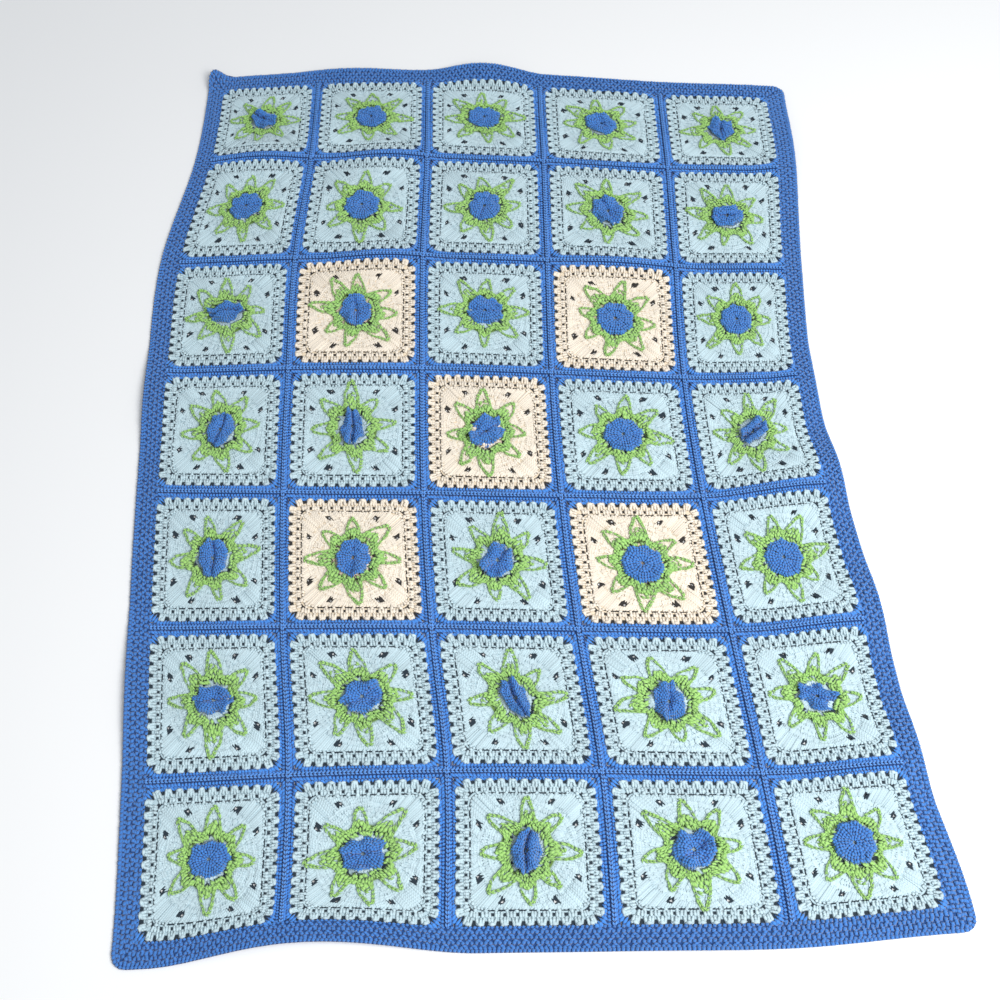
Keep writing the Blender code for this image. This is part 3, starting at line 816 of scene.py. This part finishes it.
# ------------------------------------------------------------ the flowers
# A blue flower in the middle of every square, crocheted in worsted yarn in rounds of short
# stitches, with eight slight petals in two layers. Some lie open as a disc, and others have
# folded or curled while the blanket was spread out.
#    round, stitch, half, corner, reach, outer, count, lean, turn, overlap, width, height, lift,
#    uneven
FLOWER = [
    ("inside, first round", "knot", 4.0, 4.0, 8.0, 12.0, 9, 0, 0, 1.5, 9.0, 2.6, 3.4, .05),
    ("inside, second round", "knot", 11.0, 11.0, 9.0, 20.0, 14, 0, 0, 1.5, 10.0, 2.6, 2.9, .05),
    ("under petals", "knot", 17.0, 17.0, 4.4, 21.4, 34, 0, 0, 1.4, 4.6, 3.2, 2.4, .16),
    ("edge of the under petals", "knot", 20.4, 20.4, 4.6, 25.0, 42, .4, 0, 1.4, 4.3, 3.4, 2.6,
     .18),
    ("fifth round", "knot", 19.0, 19.0, 4.4, 23.4, 38, .2, 0, 1.5, 4.3, 3.4, 4.4, .20),
    ("fourth round", "knot", 15.4, 15.4, 4.4, 19.8, 32, -.2, 0, 1.5, 4.3, 3.3, 4.9, .20),
    ("third round", "knot", 11.8, 11.8, 4.4, 16.2, 26, -.3, 0, 1.5, 4.3, 3.3, 5.2, .18),
    ("second round", "knot", 8.0, 8.0, 4.4, 12.4, 19, .3, 0, 1.5, 4.3, 3.2, 5.3, .18),
    ("first round", "knot", 4.4, 4.4, 4.4, 8.8, 12, -.2, 0, 1.5, 4.3, 3.0, 5.3, .16),
    ("heart", "knot", 1.7, 1.7, 3.8, 5.5, 7, 0, 0, 1.2, 3.8, 2.6, 5.3, .12),
]
PETALS = 8
PETAL_REACH = 25 * MM
LOBES = 0.055                # how far the petals' outline swings in and out
CURL_LENGTH = 4.6 * MM
CURL_UP, CURL_ASIDE = 3.8 * MM, 1.4 * MM
CURL_SIZES = (1.0, 0.8, 0.7, 0.6)
FOLD_HEIGHT = 7.0 * MM
CREASE_WIDTH, CREASE_SWAY = 4.4 * MM, 3.5 * MM
LOWEST = 0.6 * MM            # of a flower's underside


def flower_shape(row, column):
    """A function that scallops a flat flower's petals, creases it and curls it."""
    crease, width, fold, curl = FLOWERS[row - 1][column - 1]
    angle = math.radians(crease)
    _, off, drawn = own_draws(row, column)
    ways, phases = drawn.uniform(0, 6.28, 4), drawn.uniform(0, 6.28, 4)
    turn = drawn.uniform(0, 6.28)

    def shaped(points):
        x, y, z = points.T
        away, round_ = np.hypot(x, y), np.arctan2(y, x) + turn
        edge = np.minimum(away / PETAL_REACH, 1) ** 2
        petal = np.cos(PETALS * (round_ - turn))
        away = away * (1 + LOBES * petal * edge)
        x, y = away * np.cos(round_), away * np.sin(round_)
        z = z + (0.5 + curl) * MM * petal * edge
        for way, phase, size in zip(ways, phases, CURL_SIZES):
            swing = curl * size * np.sin(
                (x * math.cos(way) + y * math.sin(way)) / CURL_LENGTH + phase)
            z = z + CURL_UP * swing * edge ** 0.6
            x = x + CURL_ASIDE * swing * edge * math.sin(way)
            y = y - CURL_ASIDE * swing * edge * math.cos(way)
        along, across = along_and_across(x, y, angle)
        bent = across - CREASE_SWAY * np.sin(along / (9 * MM) + phases[0]) * fold
        side = np.minimum(np.abs(bent) / PETAL_REACH, 1)
        z = z + fold * FOLD_HEIGHT * np.sin(np.pi * side ** 0.6)
        z = z - fold * FOLD_HEIGHT * np.exp(-(bent / CREASE_WIDTH) ** 2)
        across = across * width * (1 - 0.16 * fold * np.sin(along / (14 * MM) + phases[1]))
        x, y = along_and_across(along, across, -angle)
        return np.stack([x + off[0], y + off[1], np.maximum(z, LOWEST)], axis=1)

    return shaped


blue_flower_yarn = yarn("blue_worsted_yarn_of_flowers", "#4187d6", "#12336f")
flower = rounds_tree("flower", FLOWER, blue_flower_yarn)
for row in range(1, ROWS + 1):
    piece = add_piece(f"flowers_of_row_{row}", row_of_squares(row, flower, flower_shape))

# ------------------------------------------------------------ the joining
# A net of blue worsted yarn between the squares: two rounds of short stitches worked round each
# square into its last clusters, and a raised braid where neighbouring squares are joined. The
# long braids run from the near edge to the far one, over the ones across.
NET_CELLS = 8                # cells along a square's side
CUTS_X, CUTS_Y = (
    sorted({round((index - (count - 1) / 2) * PITCH + share * (HALF + GAP), 6)
            for index in range(count) for share in np.linspace(-1, 1, NET_CELLS + 1)})
    for count in (COLUMNS, ROWS))


def in_strip(place, count):
    """True where a place lies between two squares, counted in one direction."""
    from_middle = (place / PITCH + count / 2) % 1 - 0.5
    return abs(from_middle) * PITCH > HALF + GAP / 2


# Blue worsted yarn between short stitches, in painted shade and in uneven tones.
blue_yarn_in_painted_shade, tree, inputs = new_material("blue_yarn_in_painted_shade_between_stitches", roughness=0.95)
worn = add(tree, "ShaderNodeTexNoise",
           {0: add(tree, "ShaderNodeTexCoord").outputs["Object"], 2: 1 / (5 * MM)})
tree.links.new(dyed(tree, worn, "#28559a", "#1a3b6c"), inputs["Base Color"])
blue_under = plain_underside("blue_yarn_wrong_side", "#3f78bf", "#1f4683")
net = slab(CUTS_X, CUTS_Y, lambda x, y: in_strip(x, COLUMNS) or in_strip(y, ROWS), SHEET)
joining = add_piece("joining_sheet", lay_mesh(finish_slab(net, blue_yarn_in_painted_shade, blue_under)))
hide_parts("joining")

#    round, stitch, half, corner, reach, outer, count, lean, turn, overlap, width, height, lift,
#    uneven
JOINING = [
    ("first round", "knot", 78.0, 22, 4.4, 9, 158, .3, 0, 1.3, 4.5, 2.0, .8, .18),
    ("second round", "knot", 82.0, 3, 3.8, 2, 164, .5, 0, 1.3, 4.2, 2.4, .9, .15),
]
# Where the braids' sides are bare, the sheet's painted shade shows as a dark line.
NET_SHIFT = -0.4 * MM        # the rounds leave the braids' left and near sides bare
NET_INSIDE = 1.2 * MM        # how far inside the border's edge a stitch's middle may lie


def at_every_square(tree, seed, joined):
    """Repeat the rounds at every square, without the stitches that would lie outside the joined
    squares, where the border is."""
    grid = add(tree, "GeometryNodeMeshGrid", (COLUMNS - 1) * PITCH, (ROWS - 1) * PITCH,
               COLUMNS, ROWS)
    spots = add(tree, "GeometryNodeSetPosition", {0: grid, 3: (NET_SHIFT, NET_SHIFT, 0)})
    everywhere = add(tree, "GeometryNodeInstanceOnPoints", {0: spots, 2: joined})
    single = add(tree, "GeometryNodeRealizeInstances", {0: everywhere, 2: False, 3: 1})
    place = vector(tree, "ABSOLUTE", add(tree, "GeometryNodeInputPosition"))
    beyond = add(tree, "ShaderNodeSeparateXYZ", vector(
        tree, "SUBTRACT", place, (REACH_X - NET_INSIDE, REACH_Y - NET_INSIDE, 1)))
    most = calc(tree, "MAXIMUM", beyond.outputs[0], beyond.outputs[1])
    outside = calc(tree, "GREATER_THAN", most, 0.0)
    return add(tree, "GeometryNodeDeleteGeometry", single, outside, domain="INSTANCE")


blue_yarn = yarn("blue_worsted_yarn", "#4691e7", "#1c478a")
net_rounds = rounds_tree("joining rounds", JOINING, blue_yarn, change=at_every_square)
rows_of_net = add_piece("joining_stitches", lay_mesh(worked(net_rounds, Seed=3)))

BRAID_LINK = 4.6 * MM        # from one link to the next
BRAID_LIFT = 2.0 * MM
BRAID_OVER = 0.9 * MM        # how far the long braids lie over the others
BRAID_SHIFT = 0.7 * MM       # to the right of the strip's middle, or beyond it
LINK_SIZE = (BRAID_LINK * 1.35, 5.4 * MM, 3.2 * MM)


def braid_tree(material):
    """Chains of links along the middle of every strip, the long ones over the others."""
    tree = new_tree("joining braid")
    joined = add(tree, "GeometryNodeJoinGeometry")
    for lines, reach, apart, turn, lift in (
            (COLUMNS - 1, REACH_Y, (PITCH, 0, 0), math.pi / 2, BRAID_LIFT + BRAID_OVER),
            (ROWS - 1, REACH_X, (0, PITCH, 0), 0.0, BRAID_LIFT)):
        count = round(2 * reach / BRAID_LINK)
        step = 2 * reach / count
        way = (0, step, 0) if apart[0] else (step, 0, 0)
        start = tuple(-0.5 * (count - 1) * part for part in way)
        first = [-0.5 * (lines - 1) * part + (BRAID_SHIFT if part else 0) for part in apart[:2]]
        row = add(tree, "GeometryNodeMeshLine", {0: count, 2: start, 3: way}, mode="OFFSET")
        shape = add(tree, "GeometryNodeObjectInfo", stitches["link"]).outputs["Geometry"]
        links = add(tree, "GeometryNodeInstanceOnPoints", {
            0: row, 2: shape, 5: add(tree, "FunctionNodeEulerToRotation", (0, 0, turn)),
            6: LINK_SIZE})
        links = marked(tree, links, BRAID_LINK, chance(tree, -1.0, 1.0))
        side = add(tree, "GeometryNodeMeshLine", {0: lines, 2: (*first, lift), 3: apart},
                   mode="OFFSET")
        braids = add(tree, "GeometryNodeInstanceOnPoints", {0: side, 2: links})
        tree.links.new(braids.outputs[0], joined.inputs[0])
    finish_tree(tree, joined, material)
    return tree


# The net's blue yarn painted lighter on the raised braid: painted light.
braid_yarn_in_painted_light = yarn("blue_worsted_yarn_of_the_braid_in_painted_light", "#5d9eea", "#2a5899")
braid = add_piece("joining_braid", lay_mesh(worked(braid_tree(braid_yarn_in_painted_light))))

# ------------------------------------------------------------ the border
# Four rounds of blue clusters round the joined squares, each set over the gaps of the one
# before, so that small holes, dark with the sheet's painted shade, stand in staggered rows, and
# a last round of short stitches.
CORNER_ROUND = 15 * MM
STEPS = (0, 8 * MM, BORDER - 9 * MM, BORDER)   # cuts across the border's sheet
band_x, band_y = (
    [-reach - step for step in STEPS[::-1]] + cuts[1:-1] + [reach + step for step in STEPS]
    for reach, cuts in ((REACH_X, CUTS_X), (REACH_Y, CUTS_Y)))


def round_corners(points):
    """Draw the four corners in to an arc."""
    x, y, z = points.T
    straight_x, straight_y = REACH_X + BORDER - CORNER_ROUND, REACH_Y + BORDER - CORNER_ROUND
    over_x, over_y = np.abs(x) - straight_x, np.abs(y) - straight_y
    corner = (over_x > 0) & (over_y > 0)
    away = np.hypot(over_x, over_y)
    share = np.where(corner, np.maximum(over_x, over_y) / np.maximum(away, 1e-9), 1)
    x = np.where(corner, np.sign(x) * (straight_x + over_x * share), x)
    y = np.where(corner, np.sign(y) * (straight_y + over_y * share), y)
    return np.stack([x, y, z], axis=1)


band = slab(band_x, band_y, lambda x, y: abs(x) > REACH_X or abs(y) > REACH_Y, SHEET)
border = add_piece("border_sheet", lay_mesh(finish_slab(band, blue_yarn_in_painted_shade, blue_under),
                                            shaped=round_corners))
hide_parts("border")

#    round, stitch, half, corner, reach, outer, count, lean, turn, overlap, width, height, lift,
#    uneven
BORDER_ROUNDS = [("inner edge", "knot", -1.8, 1, 3.2, 2, 880, .3, 0, 1.3, 5.4, 2.2, .8, .14)]
#    clusters, half, corner, reach, lean, turn
for number, (which, half, corner, reach, lean, turn) in enumerate((
        ("first", 1.0, 2, 4.0, .2, 0), ("second", 6.4, 5, 4.0, -.2, .5),
        ("third", 11.8, 8, 4.0, .2, 0), ("fourth", 17.2, 10, 3.8, -.2, .5))):
    BORDER_ROUNDS += [
        (f"feet of the {which} clusters", "knot", half, corner, 2.8, corner + 1,
         424 + 4 * number, 0, turn, 1.4, 7.0, 2.1, .8, .12),
        (f"{which} clusters", "knot", half + 1.8, corner + 1, reach, corner + 3,
         848 + 8 * number, lean, 0, 1.45, 5.5, 2.3, .8, .13)]
BORDER_ROUNDS += [("last round", "knot", 22.0, 12, 3.8, 15, 940, .5, 0, 1.3, 5.6, 2.8, .8, .07)]
# The same blue yarn painted darker on the border: painted shade.
border_yarn_in_painted_shade = yarn("blue_worsted_yarn_of_the_border_in_painted_shade", "#4181cf", "#1a417e")
border_rounds = rounds_tree("border rounds", BORDER_ROUNDS, border_yarn_in_painted_shade, about=(REACH_X, REACH_Y))
border_stitches = add_piece("border_stitches", lay_mesh(worked(border_rounds, Seed=5)))

# ------------------------------------------------------------ tidy, light, floor and camera
# The single stitches that the trees repeat are taken out. The blanket lies on a matt white
# floor in the soft light of a large window to the right, and is seen from above at a slant.
for guide in stitches.values():
    bpy.data.objects.remove(guide)
floor_mesh = bpy.data.meshes.new("floor")
floor_mesh.from_pydata([(-6, -6, 0), (6, -6, 0), (6, 6, 0), (-6, 6, 0)], [], [(0, 1, 2, 3)])
floor = bpy.data.objects.new("floor", floor_mesh)
bpy.context.scene.collection.objects.link(floor)
floor_paint, _, inputs = new_material("matt_white_floor", roughness=0.9)
inputs["Base Color"].default_value = linear("#fdfdfc")
floor_mesh.materials.append(floor_paint)

scene = bpy.context.scene
scene.view_settings.view_transform = "Standard"
world = bpy.data.worlds.new("soft studio")
world.use_nodes = True
world.node_tree.nodes["Background"].inputs["Color"].default_value = linear("#eef3fa")
world.node_tree.nodes["Background"].inputs["Strength"].default_value = 0.48
scene.world = world

LAMP_PLACE, LAMP_TARGET = (1.15, -0.85, 1.9), (0.1, -0.2, 0)
light = bpy.data.lights.new("window light", "AREA")
light.size = 1.5
light.energy = 55
lamp = bpy.data.objects.new("window light", light)
lamp.location = LAMP_PLACE
way = np.array(LAMP_TARGET) - np.array(LAMP_PLACE)
lamp.rotation_euler = (math.atan2(math.hypot(way[0], way[1]), -way[2]), 0,
                       math.atan2(way[0], -way[1]) + math.pi)
scene.collection.objects.link(lamp)

ELEVATION = 1.134710         # radians above the floor
DISTANCE = 1.5683
TARGET = (-0.024105, -0.077709, 0)
lens = bpy.data.cameras.new("camera")
lens.lens = 45
lens.sensor_width = 36
camera = bpy.data.objects.new("camera", lens)
camera.location = (TARGET[0], TARGET[1] - DISTANCE * math.cos(ELEVATION),
                   TARGET[2] + DISTANCE * math.sin(ELEVATION))
camera.rotation_euler = (math.pi / 2 - ELEVATION, 0, 0)
scene.collection.objects.link(camera)
scene.camera = camera
